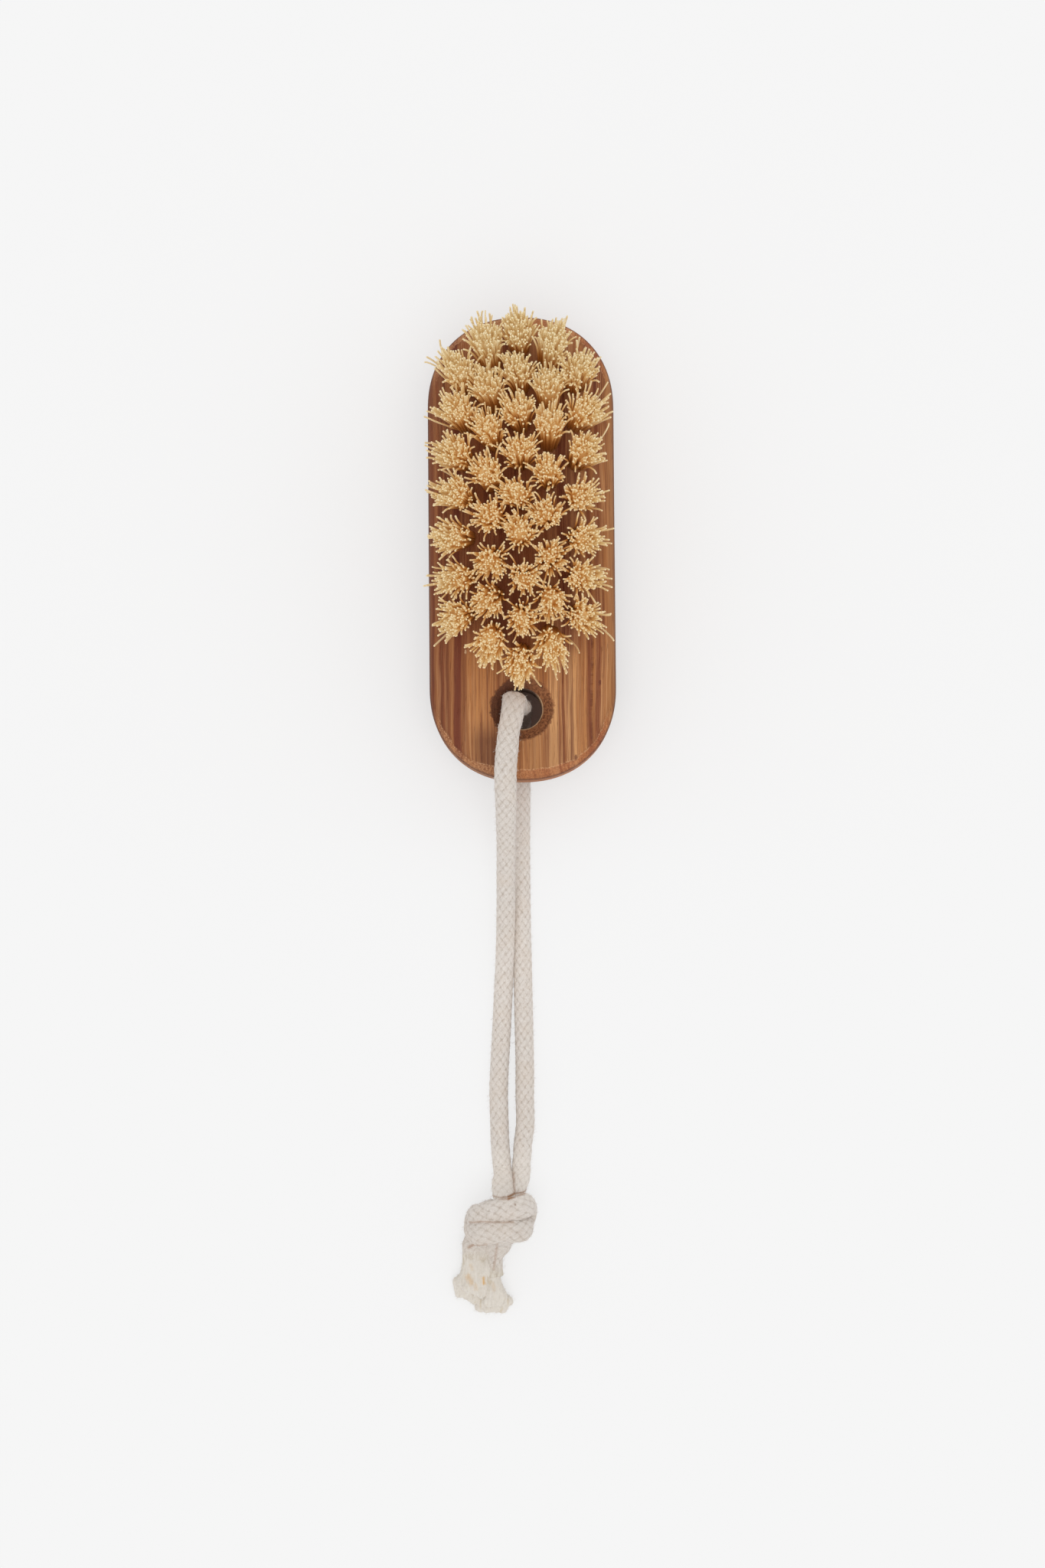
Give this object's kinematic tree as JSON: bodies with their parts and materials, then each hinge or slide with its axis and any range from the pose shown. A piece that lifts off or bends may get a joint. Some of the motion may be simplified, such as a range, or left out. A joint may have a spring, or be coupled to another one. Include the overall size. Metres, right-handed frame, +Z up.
{
  "type": "nail brush",
  "caption": "Pill-shaped wooden nail brush with leaning plant-fibre tufts on one face and a knotted cotton hanging cord through a countersunk hole.",
  "frame": {"origin": "on the table below the middle of the wooden block, which lies on its back", "axes": "+Y along the block to the far end, away from the cord hole; +Z up, the way the bristles point; +X to the right seen from above with the cord towards the viewer. The block is tipped 2.8 degrees about X, because its cord runs beneath the hole end"},
  "size_m": [0.04, 0.2173, 0.0337],
  "materials": {
    "wood": "oiled striped hardwood, straight grain along the length",
    "fibre": "dry tampico fibre, pale cut tips and golden depths",
    "cotton": "undyed cotton braid, slightly fuzzy",
    "frayed_cotton": "opened cotton yarn ends"
  },
  "bodies": {
    "root": {"wooden_block": "wood", "tuft_01": "fibre", "tuft_02": "fibre", "tuft_03": "fibre", "tuft_04": "fibre", "tuft_05": "fibre", "tuft_06": "fibre", "tuft_07": "fibre", "tuft_08": "fibre", "tuft_09": "fibre", "tuft_10": "fibre", "tuft_11": "fibre", "tuft_12": "fibre", "tuft_13": "fibre", "tuft_14": "fibre", "tuft_15": "fibre", "tuft_16": "fibre", "tuft_17": "fibre", "tuft_18": "fibre", "tuft_19": "fibre", "tuft_20": "fibre", "tuft_21": "fibre", "tuft_22": "fibre", "tuft_23": "fibre", "tuft_24": "fibre", "tuft_25": "fibre", "tuft_26": "fibre", "tuft_27": "fibre", "tuft_28": "fibre", "tuft_29": "fibre", "tuft_30": "fibre", "tuft_31": "fibre", "tuft_32": "fibre", "tuft_33": "fibre", "tuft_34": "fibre", "tuft_35": "fibre", "tuft_36": "fibre", "tuft_37": "fibre", "tuft_38": "fibre", "tuft_39": "fibre", "cord_over_run": "cotton", "cord_under_run": "cotton", "knot_strand_over": "cotton", "knot_strand_under": "cotton", "frayed_end_over": "frayed_cotton", "frayed_end_under": "frayed_cotton"}
  },
  "joints": []
}
